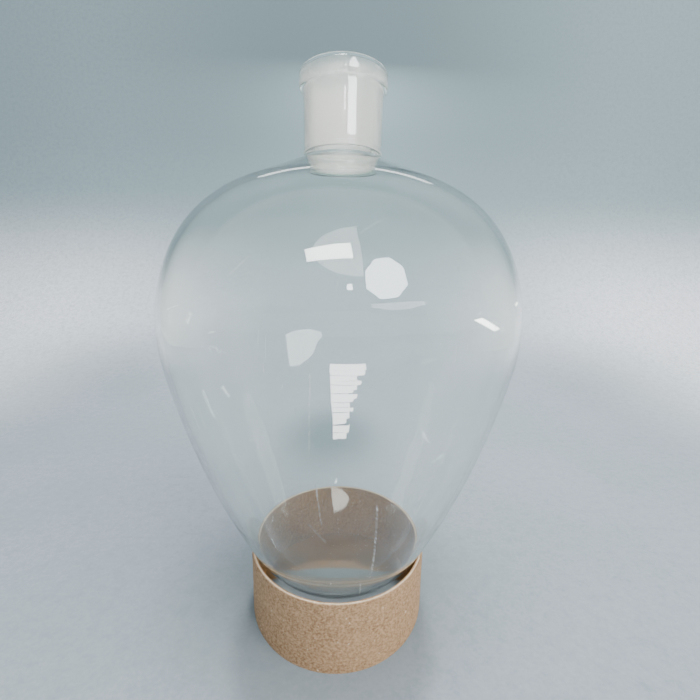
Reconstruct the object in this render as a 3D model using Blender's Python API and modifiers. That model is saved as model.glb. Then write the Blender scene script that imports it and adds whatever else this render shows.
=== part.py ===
"""Pear-shaped glass flask with a ground socket, standing in a slice of cardboard tube.

Units are metres, +Z is up, and the origin is on the flask's axis at the bottom of the ring.
"""
from math import ceil, cos, pi, radians, sin, tan

import bmesh
import bpy

# Driving dimensions, in metres and degrees.
RING_HEIGHT = 0.0337
RING_HALF_WIDTH = 0.0439      # outside, along X: the glass bears on these two sides
RING_HALF_DEPTH = 0.0471      # outside, along Y: the tube is pressed slightly oval
RING_WALL = 0.0017
LINER = 0.0004                # the thin inner and outer paper plies
GLUE_LINE = 0.00005

FLASK_BOTTOM = 0.0116         # height of the flask's lowest point above the ring's base
GLASS_WALL = 0.0022
# The bulb's outer outline, from its lowest point up: arc radius, then degrees turned.
BULB_ARCS = (
    (0.0506, 62.4),           # rounded bottom
    (0.3614, 15.3),           # nearly straight flank
    (0.0767, 34.2),           # belly
    (0.0551, 46.4),           # shoulder
)
SHOULDER_FILLET = 0.0035      # where the shoulder turns up into the neck

NECK_BASE = 0.2186            # height of the flame seal
NECK_BASE_RADIUS = 0.0168
SEAL_GAP = 0.0003
SOCKET_TOP = 0.2515
TAPER_LENGTH = 0.032          # ground length of the 29/32 socket
TAPER_MOUTH_RADIUS = 0.0146
TAPER_SLOPE = 0.05            # radius lost per length: a 1 in 10 cone
MOUTH_CHAMFER = 0.0008
TUBE_RADIUS = 0.0171          # outside of the socket, under its bead
BEAD_RADIUS = 0.019
BEAD_HEIGHT = 0.0074
BEAD_CORNER = 0.0014

# How finely the curves are divided.
TURN_STEPS = 48
BULB_ARC_STEP = radians(6)
FILLET_STEP = radians(17)
LONGEST_CHORD = 0.018
BEAD_CORNER_STEPS = 3
PLY_POINTS = 72
SHARP_ANGLE = radians(35)


def clear_scene():
    for old in list(bpy.data.objects):
        bpy.data.objects.remove(old, do_unlink=True)


def new_collection(name):
    collection = bpy.data.collections.new(name)
    bpy.context.scene.collection.children.link(collection)
    return collection


def principled(name, colour, roughness, transmission=0.0):
    material = bpy.data.materials.new(name)
    material.use_nodes = True
    shader = material.node_tree.nodes["Principled BSDF"]
    shader.inputs["Base Color"].default_value = (*colour, 1.0)
    shader.inputs["Roughness"].default_value = roughness
    shader.inputs["Metallic"].default_value = 0.0
    shader.inputs["Transmission Weight"].default_value = transmission
    material.diffuse_color = (*colour, 1.0)
    return material


def add_arc(outline, headings, radius, turn, step):
    """Extend an (r, z) outline by a tangent arc; a negative radius bends it the other way."""
    heading = headings[-1]
    r, z = outline[-1]
    centre_r = r - radius * sin(heading)
    centre_z = z + radius * cos(heading)
    count = max(round(abs(turn) / step), ceil(abs(radius * turn) / LONGEST_CHORD))
    for i in range(1, count + 1):
        angle = heading + turn * i / count
        outline.append((centre_r + radius * sin(angle), centre_z - radius * cos(angle)))
        headings.append(angle)


def bulb_outline():
    """Outer outline of the bulb with each point's heading, from its lowest point to the seal."""
    outline = [(0.0, FLASK_BOTTOM)]
    headings = [0.0]
    for radius, degrees in BULB_ARCS:
        add_arc(outline, headings, radius, radians(degrees), BULB_ARC_STEP)
    # The shoulder runs on as a cone to the fillet, which turns it up into the neck.
    r, z = outline[-1]
    heading = headings[-1]
    fillet_start = NECK_BASE_RADIUS + SHOULDER_FILLET * (1 - sin(heading))
    outline.append((fillet_start, z + (fillet_start - r) * tan(heading)))
    headings.append(heading)
    add_arc(outline, headings, -SHOULDER_FILLET, pi / 2 - heading, FILLET_STEP)
    outline.append((NECK_BASE_RADIUS, NECK_BASE))
    headings.append(pi / 2)
    return outline, headings


def turned(name, outline, closed, material, collection):
    """Turn an (r, z) outline, listed so that its outer side runs downwards, about the Z axis."""
    wire = bmesh.new()
    points = [wire.verts.new((r, 0.0, z)) for r, z in outline]
    for first, second in zip(points, points[1:]):
        wire.edges.new((first, second))
    if closed:
        wire.edges.new((points[-1], points[0]))
    mesh = bpy.data.meshes.new(name + "_outline")
    wire.to_mesh(mesh)
    wire.free()
    profile = bpy.data.objects.new(name + "_outline", mesh)
    collection.objects.link(profile)
    screw = profile.modifiers.new("Turn", "SCREW")
    screw.axis = "Z"
    screw.angle = 2 * pi
    screw.steps = TURN_STEPS
    screw.render_steps = TURN_STEPS
    screw.use_merge_vertices = True
    screw.merge_threshold = 0.00001
    evaluated = profile.evaluated_get(bpy.context.evaluated_depsgraph_get())
    solid_mesh = bpy.data.meshes.new_from_object(evaluated)
    bpy.data.objects.remove(profile, do_unlink=True)
    solid_mesh.name = name
    solid_mesh.shade_smooth()
    solid_mesh.set_sharp_from_angle(angle=SHARP_ANGLE)
    solid = bpy.data.objects.new(name, solid_mesh)
    solid.data.materials.clear()
    solid.data.materials.append(material)
    collection.objects.link(solid)
    return solid


def make_bulb(material, collection):
    outer, headings = bulb_outline()
    inner = [
        (max(r - GLASS_WALL * sin(heading), 0.0), z + GLASS_WALL * cos(heading))
        for (r, z), heading in zip(outer, headings)
    ]
    inner[0] = (0.0, FLASK_BOTTOM + GLASS_WALL)
    inner[-1] = (inner[-1][0], NECK_BASE)
    return turned("flask_bulb", inner + outer[::-1], False, material, collection)


def make_socket(material, collection):
    base = NECK_BASE + SEAL_GAP
    top = SOCKET_TOP
    bead_base = top - BEAD_HEIGHT
    taper_end_radius = TAPER_MOUTH_RADIUS - TAPER_SLOPE * TAPER_LENGTH
    outline = [
        (taper_end_radius, base),
        (TAPER_MOUTH_RADIUS, top - MOUTH_CHAMFER),
        (TAPER_MOUTH_RADIUS + MOUTH_CHAMFER, top),
        (BEAD_RADIUS - BEAD_CORNER, top),
    ]
    # Round the bead's upper and lower outer corners; the outline now runs down the outside.
    for centre_z, first in ((top - BEAD_CORNER, pi / 2), (bead_base + 2 * BEAD_CORNER, 0.0)):
        for i in range(1, BEAD_CORNER_STEPS + 1):
            angle = first - i * pi / 2 / BEAD_CORNER_STEPS
            outline.append((
                BEAD_RADIUS - BEAD_CORNER + BEAD_CORNER * cos(angle),
                centre_z + BEAD_CORNER * sin(angle),
            ))
    outline += [(TUBE_RADIUS, bead_base), (NECK_BASE_RADIUS, base)]
    return turned("ground_socket", outline, True, material, collection)


def oval_points(inset):
    """Points of the ring's outline, moved inwards by inset."""
    return [
        (
            (RING_HALF_WIDTH - inset) * cos(2 * pi * i / PLY_POINTS),
            (RING_HALF_DEPTH - inset) * sin(2 * pi * i / PLY_POINTS),
        )
        for i in range(PLY_POINTS)
    ]


def make_ply(name, outer_inset, inner_inset, material, collection):
    curve = bpy.data.curves.new(name, "CURVE")
    curve.dimensions = "2D"
    curve.fill_mode = "BOTH"
    curve.extrude = RING_HEIGHT / 2
    for inset in (outer_inset, inner_inset):
        spline = curve.splines.new("POLY")
        spline.points.add(PLY_POINTS - 1)
        for point, (x, y) in zip(spline.points, oval_points(inset)):
            point.co = (x, y, 0.0, 1.0)
        spline.use_cyclic_u = True
    curve.materials.append(material)
    ply = bpy.data.objects.new(name, curve)
    ply.location = (0.0, 0.0, RING_HEIGHT / 2)
    collection.objects.link(ply)
    return ply


def make_ring(collection):
    """The wound tube: a thin liner on each face of a thicker board ply."""
    core_outer = LINER + GLUE_LINE
    core_inner = RING_WALL - LINER - GLUE_LINE
    kraft = principled("kraft_paper", (0.42, 0.29, 0.18), 0.9)
    board = principled("grey_board", (0.48, 0.38, 0.27), 0.95)
    liner = principled("inner_liner", (0.36, 0.26, 0.17), 0.9)
    make_ply("ring_outer_ply", 0.0, LINER, kraft, collection)
    make_ply("ring_core_ply", core_outer, core_inner, board, collection)
    make_ply("ring_inner_ply", RING_WALL - LINER, RING_WALL, liner, collection)


def main():
    clear_scene()
    collection = new_collection("pear_flask_in_ring")
    glass = principled("clear_glass", (0.85, 0.89, 0.87), 0.04, transmission=1.0)
    ground_glass = principled("ground_glass", (0.82, 0.84, 0.82), 0.35, transmission=0.7)
    make_bulb(glass, collection)
    make_socket(ground_glass, collection)
    make_ring(collection)


main()
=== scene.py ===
"""Looks of a pear-shaped glass flask in a cardboard ring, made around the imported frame.

Units are metres, +Z is up, and the origin is on the flask's axis, under the ring.
An azimuth is in degrees round the axis: 0 faces the camera (-Y) and 90 is to its right (+X).
"""

from math import asin, atan2, ceil, cos, degrees, pi, radians, sin, tan

import bmesh
import bpy
import numpy as np
from mathutils import Matrix, Vector, noise


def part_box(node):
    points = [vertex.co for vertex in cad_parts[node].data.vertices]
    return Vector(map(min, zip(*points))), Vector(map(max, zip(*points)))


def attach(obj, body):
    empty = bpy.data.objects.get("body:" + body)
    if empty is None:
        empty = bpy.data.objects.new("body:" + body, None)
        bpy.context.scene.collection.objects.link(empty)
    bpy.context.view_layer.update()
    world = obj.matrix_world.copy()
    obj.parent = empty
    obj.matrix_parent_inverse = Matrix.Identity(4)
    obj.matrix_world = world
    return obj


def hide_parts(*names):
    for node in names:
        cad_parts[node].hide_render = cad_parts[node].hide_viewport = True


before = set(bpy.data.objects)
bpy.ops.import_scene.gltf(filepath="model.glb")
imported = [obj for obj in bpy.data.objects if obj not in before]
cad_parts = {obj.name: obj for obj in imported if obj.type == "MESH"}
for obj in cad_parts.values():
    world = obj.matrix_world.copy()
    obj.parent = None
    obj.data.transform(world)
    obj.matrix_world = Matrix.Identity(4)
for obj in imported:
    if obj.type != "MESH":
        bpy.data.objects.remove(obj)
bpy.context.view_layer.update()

MM = 0.001

# ---------------------------------------------------------------- sizes, from the frame
FLASK_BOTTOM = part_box("flask_bulb")[0].z
NECK_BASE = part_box("flask_bulb")[1].z
SOCKET_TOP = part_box("ground_socket")[1].z
BEAD_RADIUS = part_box("ground_socket")[1].x
RING_HALF_WIDTH, RING_HALF_DEPTH, RING_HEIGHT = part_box("ring_outer_ply")[1]
CORE_INSET = RING_HALF_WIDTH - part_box("ring_core_ply")[1].x
INNER_INSET = RING_HALF_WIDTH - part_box("ring_inner_ply")[1].x

# The bulb's outer outline, from its lowest point up: arc radius, then degrees turned.
BULB_ARCS = (
    (0.0506, 62.4),
    (0.3614, 15.3),
    (0.0767, 34.2),
    (0.0551, 46.4),
)
BELLY_RADIUS = 78.0 * MM
GLASS_WALL = 2.2 * MM
SHOULDER_FILLET = 3.5 * MM
NECK_BASE_RADIUS = 16.8 * MM
TUBE_RADIUS = 17.1 * MM
BEAD_HEIGHT = 7.4 * MM
TAPER_TOP = SOCKET_TOP - 0.8 * MM
TAPER_TOP_RADIUS = 14.6 * MM
TAPER_END_RADIUS = 13.0 * MM
TAPER_END = NECK_BASE + 0.7 * MM
MOUTH_ROUNDING = 0.8 * MM
RING_WALL = 1.7 * MM
PROUD = 0.05 * MM             # the plies' cut edges stand this far above or below the outer one's

TURN_STEPS = 160
EASED_POINTS = 170            # points along the bulb's outline
EASING = 5.0 * MM             # how far along it the change from arc to arc is spread
RING_STEPS = 360


# ---------------------------------------------------------------- node helpers
def add(tree, kind, inputs=(), **settings):
    """A node with its settings and inputs: an input that is a socket is linked."""
    made = tree.nodes.new(kind)
    for key, value in settings.items():
        setattr(made, key, value)
    for key, value in dict(inputs).items():
        if isinstance(value, bpy.types.NodeSocket):
            tree.links.new(value, made.inputs[key])
        else:
            made.inputs[key].default_value = value
    return made


def maths(tree, operation, first, second=0.0, third=0.0):
    return add(tree, "ShaderNodeMath", {0: first, 1: second, 2: third}, operation=operation).outputs[0]


def vector_maths(tree, operation, first, second=(0.0, 0.0, 0.0), output="Vector"):
    made = add(tree, "ShaderNodeVectorMath", {0: first, 1: second}, operation=operation)
    return made.outputs[output]


def length_of(tree, vector):
    return vector_maths(tree, "LENGTH", vector, output="Value")


def band(tree, value, low, high, to_low=0.0, to_high=1.0):
    """value from low..high, smoothly, to to_low..to_high."""
    settings = {"Value": value, "From Min": low, "From Max": high, "To Min": to_low, "To Max": to_high}
    return add(tree, "ShaderNodeMapRange", settings, interpolation_type="SMOOTHSTEP").outputs["Result"]


def noise_at(tree, vector, scale, detail=3.0, roughness=0.5, distortion=0.0):
    inputs = {
        "Vector": vector,
        "Scale": scale,
        "Detail": detail,
        "Roughness": roughness,
        "Distortion": distortion,
    }
    return add(tree, "ShaderNodeTexNoise", inputs).outputs["Fac"]


def stretched(tree, vector, scale, turn=(0.0, 0.0, 0.0)):
    return add(tree, "ShaderNodeMapping", {"Vector": vector, "Scale": scale, "Rotation": turn}).outputs[0]


def mixed(tree, factor, first, second, blend="MIX"):
    made = add(tree, "ShaderNodeMix", data_type="RGBA", blend_type=blend)
    for socket, value in zip((made.inputs[0], made.inputs[6], made.inputs[7]), (factor, first, second)):
        if isinstance(value, bpy.types.NodeSocket):
            tree.links.new(value, socket)
        elif isinstance(value, tuple):
            socket.default_value = (*value, 1.0)
        else:
            socket.default_value = value
    return made.outputs[2]


def new_material(name):
    material = bpy.data.materials.new(name)
    material.use_nodes = True
    return material, material.node_tree, material.node_tree.nodes["Principled BSDF"]


def object_coordinates(tree):
    return add(tree, "ShaderNodeTexCoord").outputs["Object"]


# ---------------------------------------------------------------- glass
# Scratches on the bulb: azimuth, height, length and lean from upright, then strength.
SCRATCHES = (
    (-22.0, 0.169, 0.011, 48.0, 0.5),
    (-17.0, 0.165, 0.010, 35.0, 0.35),
    (20.5, 0.162, 0.008, 25.0, 0.35),
    (-5.3, 0.126, 0.034, 3.0, 0.45),
    (-4.3, 0.091, 0.022, -4.0, 0.6),
    (15.0, 0.070, 0.050, -8.0, 0.7),
    (14.0, 0.038, 0.016, -14.0, 0.7),
    (-5.5, 0.077, 0.014, -38.0, 0.5),
    (-19.0, 0.120, 0.012, 20.0, 0.3),
    (9.0, 0.181, 0.013, 62.0, 0.3),
    (27.0, 0.137, 0.012, -30.0, 0.3),
)
SCRATCH_WIDTH = 0.11 * MM
SCRATCH_WAVER = 1.2 * MM


def scratch_mask(tree, along, height):
    """Thin lines at SCRATCHES, in the unrolled surface (angle round the bulb, height)."""
    flat = add(tree, "ShaderNodeCombineXYZ", {"X": along, "Y": height}).outputs[0]
    waver = noise_at(tree, vector_maths(tree, "MULTIPLY", flat, (300.0, 300.0, 0.0)), 1.0, 2.0)
    waver = maths(tree, "MULTIPLY", maths(tree, "SUBTRACT", waver, 0.5), SCRATCH_WAVER)
    breaks = noise_at(tree, vector_maths(tree, "MULTIPLY", flat, (900.0, 900.0, 0.0)), 1.0, 2.0)
    total = None
    for azimuth, z, length, lean, strength in SCRATCHES:
        centre = (radians(azimuth), z, 0.0)
        moved = vector_maths(tree, "SUBTRACT", flat, centre)
        reach = add(tree, "ShaderNodeMapping", {
            "Vector": vector_maths(tree, "MULTIPLY", moved, (BELLY_RADIUS, 1.0, 0.0)),
            "Rotation": (0.0, 0.0, radians(lean)),
        }).outputs[0]
        across, up, _ = add(tree, "ShaderNodeSeparateXYZ", {0: reach}).outputs
        aside = maths(tree, "ABSOLUTE", maths(tree, "ADD", across, waver))
        thin = band(tree, aside, 0.3 * SCRATCH_WIDTH, SCRATCH_WIDTH, strength, 0.0)
        short = band(tree, maths(tree, "ABSOLUTE", up), 0.35 * length, 0.5 * length, 1.0, 0.0)
        line = maths(tree, "MULTIPLY", thin, short)
        total = line if total is None else maths(tree, "MAXIMUM", total, line)
    return maths(tree, "MULTIPLY", total, band(tree, breaks, 0.38, 0.55))


BOROSILICATE_IOR = 1.474


def ground_mask(tree, place, z):
    """The frosted taper: only the inside of the socket, between its ends."""
    radius = length_of(tree, vector_maths(tree, "MULTIPLY", place, (1.0, 1.0, 0.0)))
    inside = band(tree, radius, 15.0 * MM, 15.6 * MM, 1.0, 0.0)
    above = band(tree, z, TAPER_END - 0.2 * MM, TAPER_END + 0.5 * MM)
    below = band(tree, z, TAPER_TOP - 0.2 * MM, TAPER_TOP + 0.2 * MM, 1.0, 0.0)
    return maths(tree, "MULTIPLY", maths(tree, "MULTIPLY", inside, above), below)


def wear_mask(tree, place, azimuth, z):
    """Wear on the bulb: a patchy dry film, hair scratches in three directions, and longer ones."""
    patches = band(tree, noise_at(tree, place, 26.0, 4.0, 0.6), 0.45, 0.75)
    specks = band(tree, noise_at(tree, place, 900.0, 2.0, 0.5), 0.66, 0.74)
    film = maths(tree, "ADD", maths(tree, "MULTIPLY", patches, 0.012), maths(tree, "MULTIPLY", specks, 0.05))
    hairs = None
    for turn in ((0.3, 0.2, 0.0), (-0.5, 0.6, 0.4), (0.9, -0.3, 1.1)):
        streak = noise_at(tree, stretched(tree, place, (1500.0, 1500.0, 45.0), turn), 1.0, 1.0, 0.4)
        line = band(tree, streak, 0.74, 0.80)
        hairs = line if hairs is None else maths(tree, "MAXIMUM", hairs, line)
    hairs = maths(tree, "MULTIPLY", hairs, band(tree, noise_at(tree, place, 45.0, 2.0), 0.5, 0.62))
    lines = maths(tree, "MAXIMUM", maths(tree, "MULTIPLY", hairs, 0.22), scratch_mask(tree, azimuth, z))
    on_bulb = band(tree, z, NECK_BASE - 4 * MM, NECK_BASE, 1.0, 0.0)
    return maths(tree, "MULTIPLY", maths(tree, "ADD", film, lines), on_bulb)


def glass_material():
    material, tree, shader = new_material("flask_glass")
    place = object_coordinates(tree)
    x, y, z = add(tree, "ShaderNodeSeparateXYZ", {0: place}).outputs
    ground = ground_mask(tree, place, z)
    wear = wear_mask(tree, place, maths(tree, "ARCTAN2", x, maths(tree, "MULTIPLY", y, -1.0)), z)

    rubbed = noise_at(tree, stretched(tree, place, (160.0, 160.0, 60.0)), 1.0, 4.0, 0.6)
    ground_rough = maths(tree, "MULTIPLY", ground, band(tree, rubbed, 0.3, 0.7, 0.42, 0.62))
    under_bead = band(tree, z, SOCKET_TOP - 4.5 * MM, SOCKET_TOP - 1.5 * MM, 1.0, 0.25)
    ground_milk = maths(tree, "MULTIPLY", ground, band(tree, rubbed, 0.3, 0.7, 0.46, 0.66))
    ground_milk = maths(tree, "MULTIPLY", ground_milk, under_bead)

    milk = maths(tree, "ADD", ground_milk, wear)
    tree.links.new(maths(tree, "SUBTRACT", 1.0, milk), shader.inputs["Transmission Weight"])
    rough = maths(tree, "ADD", ground_rough, maths(tree, "MULTIPLY", wear, 0.5))
    tree.links.new(rough, shader.inputs["Roughness"])
    tint = mixed(tree, ground, (0.97, 0.985, 0.97), (1.0, 0.975, 0.93))
    tree.links.new(tint, shader.inputs["Base Color"])
    shader.inputs["IOR"].default_value = BOROSILICATE_IOR

    # Grit and turning marks on the ground zone, and a slow ripple all over.
    grain = maths(tree, "MULTIPLY", noise_at(tree, place, 2500.0, 2.0, 0.6), ground)
    rings = noise_at(tree, stretched(tree, place, (90.0, 90.0, 900.0)), 1.0, 2.0)
    rings = maths(tree, "MULTIPLY", rings, ground)
    ripple = maths(tree, "MULTIPLY", noise_at(tree, place, 38.0, 1.0, 0.3), 0.25)
    height = maths(tree, "ADD", maths(tree, "ADD", grain, rings), ripple)
    bump = add(tree, "ShaderNodeBump", {"Height": height, "Strength": 0.6, "Distance": 0.12 * MM})
    tree.links.new(bump.outputs[0], shader.inputs["Normal"])

    absorb = add(tree, "ShaderNodeVolumeAbsorption", {"Color": (0.72, 0.92, 0.80, 1.0), "Density": 11.0})
    tree.links.new(absorb.outputs[0], tree.nodes["Material Output"].inputs["Volume"])
    return material


def add_arc(outline, headings, radius, turn, step):
    """Extend an (r, z) outline by a tangent arc; a negative radius bends it the other way."""
    heading = headings[-1]
    r, z = outline[-1]
    centre_r = r - radius * sin(heading)
    centre_z = z + radius * cos(heading)
    count = max(ceil(turn / step), ceil(abs(radius * turn) / (4 * MM)))
    for i in range(1, count + 1):
        angle = heading + turn * i / count
        outline.append((centre_r + radius * sin(angle), centre_z - radius * cos(angle)))
        headings.append(angle)


def averaged(points, weights):
    """Each point of an outline as the weighted mean of its neighbours.

    Beyond the axis the outline is its own mirror image, and beyond the shoulder it runs straight on.
    """
    reach = len(weights) // 2
    before = points[reach:0:-1] * (-1.0, 1.0)
    after = 2 * points[-1] - points[-2:-reach - 2:-1]
    longer = np.concatenate([before, points, after])
    return np.stack([np.convolve(longer[:, i], weights, "valid") for i in (0, 1)], axis=1)


def eased(outline):
    """An outline with its curvature eased from arc to arc, as blown glass has it, and its headings."""
    points = np.array(outline)
    along = np.append(0.0, np.cumsum(np.hypot(*np.diff(points, axis=0).T)))
    even = np.linspace(0.0, along[-1], EASED_POINTS)
    spacing = even[1]
    points = np.stack([np.interp(even, along, points[:, i]) for i in (0, 1)], axis=1)
    reach = ceil(2.5 * EASING / spacing)
    weights = np.exp(-0.5 * (np.arange(-reach, reach + 1) * spacing / EASING) ** 2)
    weights /= weights.sum()
    smooth = averaged(points, weights)
    # Averaging draws every arc in a little, and the same amount is given back.
    smooth += smooth - averaged(smooth, weights)
    slopes = np.gradient(smooth, axis=0)
    headings = np.arctan2(slopes[:, 1], slopes[:, 0])
    headings[0] = 0.0
    smooth[0, 0] = 0.0
    return [tuple(p) for p in smooth.tolist()], headings.tolist()


def bulb_outlines():
    """Outer and inner outlines of the bulb, from its lowest point to the neck."""
    outer = [(0.0, FLASK_BOTTOM)]
    headings = [0.0]
    for radius, turned_degrees in BULB_ARCS:
        add_arc(outer, headings, radius, radians(turned_degrees), radians(1.6))
    outer, headings = eased(outer)
    r, z = outer[-1]
    heading = headings[-1]
    fillet_start = NECK_BASE_RADIUS + SHOULDER_FILLET * (1 - sin(heading))
    cone_steps = 8
    for i in range(1, cone_steps + 1):
        share = i / cone_steps
        outer.append((r + (fillet_start - r) * share, z + (fillet_start - r) * share * tan(heading)))
        headings.append(heading)
    add_arc(outer, headings, -SHOULDER_FILLET, pi / 2 - heading, radians(8))
    inner = []
    for (r, z), heading in zip(outer, headings):
        # The wall thickens towards the bottom, where the molten glass gathered.
        wall = GLASS_WALL * (1 + 0.25 * max(0.0, cos(heading)) ** 4 * (z < 0.06))
        inner.append((max(r - wall * sin(heading), 0.0), z + wall * cos(heading)))
    return outer, inner


def neck_outer():
    """The outside of the neck, from the bulb's fillet up to the mouth's flat top."""
    bead_base = SOCKET_TOP - BEAD_HEIGHT
    points = []
    steps = 44
    foot = NECK_BASE - 0.9 * MM
    for i in range(1, steps + 1):
        z = foot + (bead_base - 0.6 * MM - foot) * i / steps
        share = (z - foot) / (bead_base - foot)
        ripple = 0.42 * MM * seal_ripple(z, NECK_BASE + 0.9 * MM)
        points.append((NECK_BASE_RADIUS + (TUBE_RADIUS - NECK_BASE_RADIUS) * share + ripple, z))
    under, under_width = 2.0 * MM, 1.7 * MM
    for i in range(0, 9):
        angle = -pi / 2 + pi / 2 * i / 8
        points.append((
            BEAD_RADIUS - under_width + under_width * cos(angle),
            bead_base + under + under * sin(angle),
        ))
    over = 2.1 * MM
    for i in range(0, 10):
        angle = pi / 2 * i / 9
        points.append((BEAD_RADIUS - over + over * cos(angle), SOCKET_TOP - over + over * sin(angle)))
    return points


def seal_ripple(z, centre):
    """Rings left by the flame where the socket was sealed on."""
    along = (z - centre) / (1.3 * MM)
    return cos(2.4 * along) * 2.718 ** (-(along ** 2) / 2)


def neck_inner(join_radius, join_z):
    """The inside, from the mouth down the ground taper to a point above the bulb's inner wall."""
    points = []
    for i in range(0, 5):
        angle = pi / 2 * i / 4
        points.append((
            TAPER_TOP_RADIUS + MOUTH_ROUNDING - MOUTH_ROUNDING * sin(angle),
            SOCKET_TOP - MOUTH_ROUNDING + MOUTH_ROUNDING * cos(angle),
        ))
    steps = 24
    for i in range(1, steps + 1):
        share = i / steps
        points.append((
            TAPER_TOP_RADIUS + (TAPER_END_RADIUS - TAPER_TOP_RADIUS) * share,
            TAPER_TOP + (TAPER_END - TAPER_TOP) * share,
        ))
    flare = 10
    for i in range(1, flare):
        share = i / flare
        ease = share * share * (3 - 2 * share)
        z = TAPER_END + (join_z - TAPER_END) * share
        points.append((TAPER_END_RADIUS + (join_radius - TAPER_END_RADIUS) * ease, z))
    return points


def turned(name, outline, steps, shift):
    """A closed solid turned from an (r, z) outline that starts and ends on the axis."""
    outline = np.array(outline)
    rings = outline[1:-1]
    angles = np.arange(steps) * 2 * pi / steps
    radii = rings[:, 0:1] + shift(angles[None, :], rings[:, 0:1], rings[:, 1:2])
    xs = radii * np.sin(angles)
    ys = -radii * np.cos(angles)
    zs = np.repeat(rings[:, 1:2], steps, axis=1)
    points = np.stack([xs, ys, zs], axis=2).reshape(-1, 3).tolist()
    first, last = len(points), len(points) + 1
    points += [(0.0, 0.0, outline[0, 1]), (0.0, 0.0, outline[-1, 1])]
    faces = []
    count = len(rings)
    for i in range(count - 1):
        for j in range(steps):
            k = (j + 1) % steps
            faces.append((i * steps + j, i * steps + k, (i + 1) * steps + k, (i + 1) * steps + j))
    for j in range(steps):
        k = (j + 1) % steps
        faces.append((first, k, j))
        faces.append((last, (count - 1) * steps + j, (count - 1) * steps + k))
    mesh = bpy.data.meshes.new(name)
    mesh.from_pydata(points, [], faces)
    return finished(name, mesh)


def finished(name, mesh):
    """An object from a closed mesh, facing out and shaded smooth."""
    form = bmesh.new()
    form.from_mesh(mesh)
    bmesh.ops.recalc_face_normals(form, faces=form.faces)
    form.to_mesh(mesh)
    form.free()
    mesh.shade_smooth()
    piece = bpy.data.objects.new(name, mesh)
    bpy.context.scene.collection.objects.link(piece)
    return piece


def blown_shift(angles, radii, heights):
    """How far hand-worked glass strays from a true circle: a little, and more on the bulb's inside."""
    swell = np.clip((radii - 18 * MM) / (40 * MM), 0.0, 1.0)
    slow = np.sin(2 * angles + 30 * heights + 0.7) + 0.6 * np.sin(3 * angles - 55 * heights + 2.1)
    quick = np.sin(7 * angles + 160 * heights) * np.sin(90 * heights + 1.0)
    return swell * (0.10 * MM * slow + 0.02 * MM * quick)


def make_flask():
    outer, inner = bulb_outlines()
    join_radius, join_z = inner[-1]
    outline = inner[:-1] + neck_inner(join_radius, join_z)[::-1] + neck_outer()[::-1] + outer[::-1]
    flask = turned("flask_glass", outline, TURN_STEPS, blown_shift)
    flask.data.materials.append(glass_material())
    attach(flask, "flask")
    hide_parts("flask_bulb", "ground_socket")


# ---------------------------------------------------------------- cardboard ring
def fibrous(name, deep, pale, flecks, grain_scale=1.0, layered=False):
    """Recycled paper or board: mottled, full of short fibres, with light and dark flecks."""
    material, tree, shader = new_material(name)
    place = object_coordinates(tree)
    mottle = noise_at(tree, place, 900.0 * grain_scale, 4.0, 0.65)
    cloud = noise_at(tree, place, 60.0, 3.0, 0.5)
    fibre = noise_at(tree, stretched(tree, place, (1100.0, 1100.0, 2600.0)), 1.0, 3.0, 0.6, 1.2)
    tone = maths(tree, "ADD", maths(tree, "MULTIPLY", mottle, 0.6), maths(tree, "MULTIPLY", fibre, 0.4))
    colour = mixed(tree, band(tree, tone, 0.37, 0.63), deep, pale)
    colour = mixed(tree, band(tree, cloud, 0.3, 0.7, 0.0, 0.25), colour, pale)
    pale_spots = noise_at(tree, stretched(tree, place, (800.0, 800.0, 500.0)), 1.0, 1.0, 0.3)
    dark_spots = noise_at(tree, stretched(tree, place, (700.0, 700.0, 1200.0)), 1.0, 1.0, 0.3)
    light = band(tree, pale_spots, 0.76, 0.80, 0.0, flecks)
    dark = band(tree, dark_spots, 0.73, 0.78, 0.0, flecks)
    colour = mixed(tree, light, colour, (0.80, 0.70, 0.56))
    colour = mixed(tree, dark, colour, (0.13, 0.085, 0.05))
    if layered:
        layers = noise_at(tree, place, 2000.0, 2.0, 0.5)
        colour = mixed(tree, band(tree, layers, 0.4, 0.6, 0.0, 0.5), colour, (0.62, 0.50, 0.36))
    tree.links.new(colour, shader.inputs["Base Color"])
    tree.links.new(band(tree, mottle, 0.3, 0.7, 0.95, 0.78), shader.inputs["Roughness"])
    shader.inputs["Specular IOR Level"].default_value = 0.25
    bump = add(tree, "ShaderNodeBump", {"Height": tone, "Strength": 0.55, "Distance": 0.10 * MM})
    tree.links.new(bump.outputs[0], shader.inputs["Normal"])
    return material


def rough_edge(angle, height_share, seed):
    """How far the knife-cut edge of the board wanders up or down at an angle round the ring."""
    around = Vector((cos(angle), sin(angle), seed))
    wander = 0.16 * MM * noise.noise(around * 9.0) + 0.07 * MM * noise.noise(around * 60.0)
    return wander * max(0.0, 2 * height_share - 1)


def dent(angle):
    """The pressed-down stretch at the far left of the rim, in metres."""
    away = abs((angle - radians(197) + pi) % (2 * pi) - pi) / radians(9)
    return -0.8 * MM * max(0.0, 1 - away ** 2)


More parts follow.
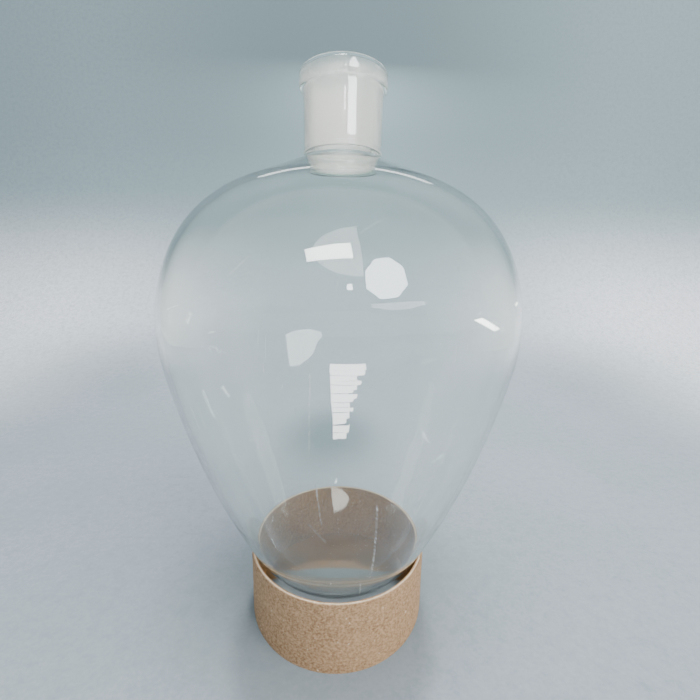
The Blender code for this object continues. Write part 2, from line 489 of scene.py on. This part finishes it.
def make_ply(name, node, slot, outer_inset, inner_inset, proud, material, seed):
    """One wound ply: an oval band with soft, fibrous cut edges. proud lifts its top edge."""
    rounding = 0.25 * (inner_inset - outer_inset)
    rows = 22
    section = []
    for i in range(rows + 1):
        section.append((outer_inset, i / rows))
    for i in range(rows + 1):
        section.append((inner_inset, 1 - i / rows))
    points = []
    for j in range(RING_STEPS):
        angle = 2 * pi * j / RING_STEPS
        for inset, share in section:
            middle = (outer_inset + inner_inset) / 2
            at_edge = share in (0, 1)
            drawn = inset + (middle - inset) * 0.35 * at_edge
            drawn += 0.06 * MM * noise.noise(Vector((cos(angle) * 5, sin(angle) * 5, share * 3 + seed)))
            z = RING_HEIGHT * share + (proud + dent(angle)) * max(0.0, share - 0.8) / 0.2
            z += rough_edge(angle, share, seed) - rounding * (share == 1) * 0.2
            points.append((
                (RING_HALF_WIDTH - drawn) * cos(angle),
                (RING_HALF_DEPTH - drawn) * sin(angle),
                max(z, 0.0),
            ))
    width = len(section)
    faces = []
    for j in range(RING_STEPS):
        k = (j + 1) % RING_STEPS
        for i in range(width):
            n = (i + 1) % width
            faces.append((j * width + i, k * width + i, k * width + n, j * width + n))
    mesh = bpy.data.meshes.new(name)
    mesh.from_pydata(points, [], faces)
    ply = finished(name, mesh)
    mesh.set_sharp_from_angle(angle=radians(50))
    mesh.materials.append(material)
    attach(ply, "stand")
    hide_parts(node)
    return ply


def make_ring():
    """The three plies, each with its node, slot, insets, how proud its edge stands, paper and seed."""
    kraft = fibrous("kraft_paper", (0.245, 0.132, 0.060), (0.55, 0.355, 0.200), 0.7, 1.0)
    board = fibrous("grey_board", (0.50, 0.38, 0.26), (0.80, 0.67, 0.52), 0.5, layered=True)
    liner = fibrous("inner_liner", (0.22, 0.108, 0.040), (0.42, 0.24, 0.110), 0.6)
    plies = (
        ("ring_outer_paper", "ring_outer_ply", "kraft_paper", 0.0, CORE_INSET, 0.0, kraft, 1.0),
        ("ring_board", "ring_core_ply", "grey_board", CORE_INSET, INNER_INSET, PROUD, board, 4.0),
        ("ring_inner_paper", "ring_inner_ply", "inner_liner", INNER_INSET, RING_WALL, -PROUD, liner, 7.0),
    )
    return [make_ply(*ply) for ply in plies]


# ---------------------------------------------------------------- floor, backdrop, light
SWEEP_START = 0.26
SWEEP_RADIUS = 0.46
WALL_TOP = 3.2
STAGE_HALF_WIDTH = 6.0
STAGE_FRONT = -5.0
FLASK_MIDDLE = Vector((0.0, 0.0, 0.12))
CAMERA_PLACE = Vector((0.00467, -0.1855, 0.1663))
UP = Vector((0.0, 0.0, 1.0))


def make_stage():
    """A pale sheet that lies flat under the ring and sweeps up behind it."""
    profile = [(STAGE_FRONT, 0.0), (-1.0, 0.0), (-0.3, 0.0), (SWEEP_START, 0.0)]
    for i in range(1, 25):
        angle = pi / 2 * i / 24
        profile.append((SWEEP_START + SWEEP_RADIUS * sin(angle), SWEEP_RADIUS * (1 - cos(angle))))
    profile.append((SWEEP_START + SWEEP_RADIUS, WALL_TOP))
    points = [(x, y, z) for y, z in profile for x in (-STAGE_HALF_WIDTH, STAGE_HALF_WIDTH)]
    faces = [(2 * i, 2 * i + 1, 2 * i + 3, 2 * i + 2) for i in range(len(profile) - 1)]
    mesh = bpy.data.meshes.new("backdrop")
    mesh.from_pydata(points, [], faces)
    mesh.shade_smooth()
    stage = bpy.data.objects.new("backdrop", mesh)
    bpy.context.scene.collection.objects.link(stage)
    mesh.materials.append(backdrop_material())


def backdrop_material():
    """Felted paper: grey-blue floor, paler low on the sweep and to the sides, teal grey above."""
    material, tree, shader = new_material("backdrop_paper")
    place = object_coordinates(tree)
    clouds = noise_at(tree, place, 6.0, 4.0, 0.6)
    grain = noise_at(tree, place, 500.0, 3.0, 0.6)
    felt = noise_at(tree, place, 150.0, 4.0, 0.7)
    x, y, z = add(tree, "ShaderNodeSeparateXYZ", {0: place}).outputs
    aside = maths(tree, "ABSOLUTE", x)
    sideways = band(tree, aside, 0.10, 0.60)
    floor_tone = mixed(tree, band(tree, clouds, 0.35, 0.65), (0.29, 0.335, 0.37), (0.32, 0.35, 0.40))
    floor_tone = mixed(tree, band(tree, aside, 0.32, 0.65), floor_tone, (0.80, 0.83, 0.86))
    low_tone = mixed(tree, sideways, (0.30, 0.35, 0.39), (0.86, 0.88, 0.95))
    wall_tone = mixed(tree, sideways, (0.18, 0.25, 0.265), (0.27, 0.36, 0.385))
    colour = mixed(tree, band(tree, z, 0.006, 0.09), floor_tone, low_tone)
    colour = mixed(tree, band(tree, z, 0.10, 0.36), colour, wall_tone)

    # A darker patch behind the flask, then the felt.
    from_patch = vector_maths(tree, "SUBTRACT", place, (-0.014, 0.21, 0.0))
    away = length_of(tree, vector_maths(tree, "MULTIPLY", from_patch, (1.5, 1.0, 1.0)))
    colour = mixed(tree, band(tree, away, 0.01, 0.12, 0.80, 0.0), colour, (0.075, 0.12, 0.13))
    colour = mixed(tree, band(tree, grain, 0.3, 0.7, 0.0, 0.30), colour, (0.20, 0.25, 0.29))
    colour = mixed(tree, band(tree, felt, 0.40, 0.72, 0.0, 0.28), colour, (0.17, 0.22, 0.25))

    # Painted shade: darker towards the photographer, where only the glass sees it, and around the ring.
    colour = mixed(tree, band(tree, y, -0.12, -0.40, 0.0, 0.65), colour, (0.09, 0.115, 0.12))
    # Painted shade around the ring, centred a little to its left.
    painted_shade_distance = length_of(tree, vector_maths(tree, "ADD", place, (0.010, 0.0, 0.0)))
    colour = mixed(tree, band(tree, painted_shade_distance, 0.040, 0.105, 0.50, 0.0), colour, (0.12, 0.16, 0.17))

    # The board throws warm light into the shadow of the ring's back wall, on the floor inside it.
    oval = vector_maths(tree, "MULTIPLY", place, (1 / RING_HALF_WIDTH, 1 / RING_HALF_DEPTH, 1.0))
    in_ring = band(tree, length_of(tree, oval), 0.96, 0.99, 1.0, 0.0)
    bow = maths(tree, "ADD", y, maths(tree, "MULTIPLY", maths(tree, "MULTIPLY", x, x), 6.0))
    shaded = maths(tree, "MULTIPLY", in_ring, band(tree, bow, 11.5 * MM, 14.5 * MM))
    colour = mixed(tree, shaded, colour, (0.29, 0.17, 0.085))

    tree.links.new(colour, shader.inputs["Base Color"])
    shader.inputs["Roughness"].default_value = 0.9
    shader.inputs["Specular IOR Level"].default_value = 0.2
    bump = add(tree, "ShaderNodeBump", {"Height": grain, "Strength": 0.2, "Distance": 0.3 * MM})
    tree.links.new(bump.outputs[0], shader.inputs["Normal"])
    return material


def towards(azimuth, elevation):
    """The direction at an azimuth and an elevation in degrees."""
    flat = cos(radians(elevation))
    return Vector((flat * sin(radians(azimuth)), -flat * cos(radians(azimuth)), sin(radians(elevation))))


def opaque_pieces(pieces):
    """A collection of what casts shadows where the glass doesn't."""
    opaque = bpy.data.collections.new("opaque_pieces")
    for piece in pieces:
        opaque.objects.link(piece)
    return opaque


def soft_light(name, azimuth, elevation, distance, width, depth, power, colour, blocked_by=None):
    """A softbox aimed at the flask's middle. blocked_by, a collection, alone casts shadows in its light."""
    light = bpy.data.lights.new(name, "AREA")
    light.shape = "RECTANGLE"
    light.size = width
    light.size_y = depth
    light.energy = power
    light.color = colour
    lamp = bpy.data.objects.new(name, light)
    direction = towards(azimuth, elevation)
    lamp.location = FLASK_MIDDLE + direction * distance
    lamp.rotation_euler = direction.to_track_quat("Z", "Y").to_euler()
    lamp.visible_camera = False
    lamp.visible_glossy = False
    lamp.visible_transmission = False
    if blocked_by:
        lamp.light_linking.blocker_collection = blocked_by
    bpy.context.scene.collection.objects.link(lamp)


def card_object(name, faces_points, brightness, colour, mirrored_by, fade=None):
    """A glowing card that is seen only in the glass: mirrored by its front, its back, or both.

    fade, a middle and a reach in (y, z), thins it out to nothing from its middle outwards.
    """
    points = [point for face in faces_points for point in face]
    faces = []
    for face in faces_points:
        start = faces[-1][-1] + 1 if faces else 0
        faces.append(tuple(range(start, start + len(face))))
    mesh = bpy.data.meshes.new(name)
    mesh.from_pydata(points, [], faces)
    card = bpy.data.objects.new(name, mesh)
    bpy.context.scene.collection.objects.link(card)
    material = bpy.data.materials.new(name)
    material.use_nodes = True
    tree = material.node_tree
    tree.nodes.clear()
    glow = add(tree, "ShaderNodeEmission", {"Color": (*colour, 1.0), "Strength": brightness}).outputs[0]
    if fade:
        (middle_y, middle_z), (reach_y, reach_z) = fade
        moved = vector_maths(tree, "SUBTRACT", object_coordinates(tree), (0.0, middle_y, middle_z))
        away = vector_maths(tree, "MULTIPLY", moved, (0.0, 1 / reach_y, 1 / reach_z))
        away = length_of(tree, away)
        clear = add(tree, "ShaderNodeBsdfTransparent").outputs[0]
        thinned = {0: band(tree, away, 0.0, 1.0), 1: glow, 2: clear}
        glow = add(tree, "ShaderNodeMixShader", thinned).outputs[0]
    output = add(tree, "ShaderNodeOutputMaterial")
    tree.links.new(glow, output.inputs["Surface"])
    mesh.materials.append(material)
    card.visible_camera = False
    card.visible_diffuse = False
    card.visible_shadow = False
    card.visible_volume_scatter = False
    card.visible_glossy = "front" in mirrored_by
    card.visible_transmission = "back" in mirrored_by


def spread(spot, distance, directions):
    """Points at a distance from a spot on the glass, in (azimuth, elevation) directions."""
    return [Vector(spot) + distance * towards(azimuth, elevation) for azimuth, elevation in directions]


# Spots on the glass from which the cards are aimed: where the photo shows each one mirrored.
SHOULDER_FRONT = (0.014, -0.075, 0.166)
BROW = (-0.002, -0.0743, 0.173)
BELLY_FRONT = (0.004, -0.0785, 0.135)
BACK = (-0.026, 0.069, 0.121)
HEEL = (0.0, 0.036, 0.029)
DAYLIGHT = (0.93, 0.97, 1.0)
SLAT_COUNT = 14

# The streaks on the bulb's back: azimuth and height, then each card's length, rise and width in degrees.
STREAKS = (
    (-110.0, 0.105, 4.8, -1.0, 2.4),
    (-94.6, 0.102, 5.3, -19.0, 1.6),
    (-119.5, 0.070, 11.7, 15.0, 2.0),
    (121.1, 0.075, 13.9, 15.0, 2.4),
    (105.5, 0.070, 12.1, 13.0, 1.4),
)


def mirrored(azimuth, height):
    """A spot on the bulb's inner wall, and the azimuth and elevation that the camera sees mirrored there."""
    inner = np.array(bulb_outlines()[1])
    below, radius, above = np.interp((height - MM, height, height + MM), inner[:, 1], inner[:, 0]).tolist()
    outwards = towards(azimuth, 0.0)
    spot = radius * outwards + height * UP
    normal = outwards + (below - above) / (2 * MM) * UP
    seen = (spot - CAMERA_PLACE).reflect(normal.normalized()).normalized()
    return spot, Vector((degrees(atan2(seen.x, -seen.y)), degrees(asin(seen.z))))


def make_octaboxes():
    """One eight-sided softbox near the flask's front, and a far one that its back mirrors."""
    near, far = [], []
    for i in range(8):
        angle = 2 * pi * (i + 0.5) / 8
        near.append((28.5 + 14.5 * sin(angle), 30.0 + 12.5 * cos(angle)))
        # The bulb's back draws the far one's upper half out more than its lower half.
        drop = (3.0 if cos(angle) > 0 else 1.25) * cos(angle)
        far.append((34.0 + 17.0 * sin(angle), 15.7 - drop - 0.3 * sin(angle)))
    card_object("octabox", [spread(SHOULDER_FRONT, 0.5, near)], 42.0, DAYLIGHT, ("front",))
    card_object("octabox_far", [spread(BACK, 3.0, far)], 95.0, DAYLIGHT, ("back",))


def make_windows():
    """A plain pane, a half-round window, one with slats, and a small lamp."""
    pane = ((-26.5, 45.5), (8.0, 52.0), (9.5, 42.0), (-22.0, 38.5))
    card_object("window_pane", [spread(BROW, 1.1, pane)], 55.0, (1.0, 0.99, 0.97), ("front",))
    arch = []
    for i in range(13):
        angle = pi * (i / 12 - 0.5)
        arch.append((14.0 - 33.0 * cos(angle), 50.0 + 15.0 * sin(angle)))
    card_object("arched_window", [spread(HEEL, 1.2, arch)], 80.0, (1.0, 0.98, 0.95), ("back",))
    slats = []
    for i in range(SLAT_COUNT):
        top = -12.0 - 48.0 * (i / SLAT_COUNT) ** 0.85
        foot = -12.0 - 48.0 * ((i + 0.93 - 0.12 * (i % 2)) / SLAT_COUNT) ** 0.85
        end = 19.0 if i < 2 else 19.0 - 0.7 * i - 2.3 * (i % 3)
        slats.append(spread(BELLY_FRONT, 0.09, ((-7.5, top), (end, top), (end, foot), (-8.0, foot))))
    card_object("slatted_window", slats, 42.0, (1.0, 0.95, 0.93), ("front",))
    lamp = ((3.8, 27.5), (7.0, 27.5), (7.0, 24.5), (3.8, 24.5))
    card_object("small_lamp", [spread(SHOULDER_FRONT, 1.0, lamp)], 55.0, (1.0, 1.0, 1.0), ("front", "back"))


def make_side_light():
    """Bright walls to both sides, which the glass shows along its edges, gaps of light, and a strip."""
    for name, side in (("wall_left", -1), ("wall_right", 1)):
        corners = ((-0.55, 0.001), (0.75, 0.001), (0.75, 0.8), (-0.55, 0.8))
        wall = [(side * 0.75, y, z) for y, z in corners]
        fade = ((0.15, 0.12), (0.6, 0.65))
        card_object(name, [wall], 1.5, (0.93, 0.98, 0.96), ("front", "back"), fade)
    # The back of the bulb draws the gaps out into slanting streaks.
    streaks = []
    for azimuth, height, length, rise, width in STREAKS:
        side = -1 if azimuth < 0 else 1
        spot, middle = mirrored(azimuth, height)
        along = 0.5 * length * Vector((side * cos(radians(rise)), sin(radians(rise))))
        across = width * Vector((0.55, side * 0.17))
        ends = (-along + across, along + across, along - across, -along - across)
        streaks.append(spread(spot, 0.6, [middle + end for end in ends]))
    card_object("streaks", streaks, 6.0, (0.97, 1.0, 0.98), ("back",))
    # Above the backdrop, for the thin lights along the shoulder.
    strip = ((150.0, 40.0), (210.0, 40.0), (210.0, 44.0), (150.0, 44.0))
    over = spread((0.0, 0.0, 0.15), 0.95, strip)
    card_object("strip_above", [over], 5.0, (0.97, 0.99, 1.0), ("front",))


def make_world():
    world = bpy.data.worlds.new("studio")
    bpy.context.scene.world = world
    world.use_nodes = True
    background = world.node_tree.nodes["Background"]
    background.inputs["Color"].default_value = (0.80, 0.88, 0.95, 1.0)
    background.inputs["Strength"].default_value = 0.66


def make_camera():
    """A wide lens close to the flask, level with its shoulder and tipped down a little."""
    tipped, rolled = radians(10.53), radians(0.97)
    forward = Vector((0.0, cos(tipped), -sin(tipped)))
    level_up = Vector((0.0, sin(tipped), cos(tipped)))
    right = Vector((cos(rolled), 0.0, 0.0)) + level_up * sin(rolled)
    up = Vector((-sin(rolled), 0.0, 0.0)) + level_up * cos(rolled)
    lens = bpy.data.cameras.new("camera")
    lens.sensor_width = 36.0
    lens.lens = 20.09
    lens.clip_start = 0.01
    camera = bpy.data.objects.new("camera", lens)
    facing = Matrix((right, up, -forward)).transposed().to_4x4()
    camera.matrix_world = Matrix.Translation(CAMERA_PLACE) @ facing
    bpy.context.scene.collection.objects.link(camera)
    bpy.context.scene.camera = camera


make_camera()
make_flask()
ring = make_ring()
make_stage()
make_world()
soft_light("key", 50.0, 38.0, 1.6, 1.2, 1.2, 34.0, (1.0, 0.98, 0.95))
soft_light("top", -10.0, 80.0, 1.8, 1.8, 1.8, 27.0, (0.97, 0.99, 1.0))
# The flask's thin glass lets this one straight through, on to the floor and the ring inside it.
soft_light("back", 178.0, 46.0, 0.85, 0.20, 0.05, 8.0, (0.97, 0.99, 1.0), opaque_pieces(ring))
make_octaboxes()
make_windows()
make_side_light()
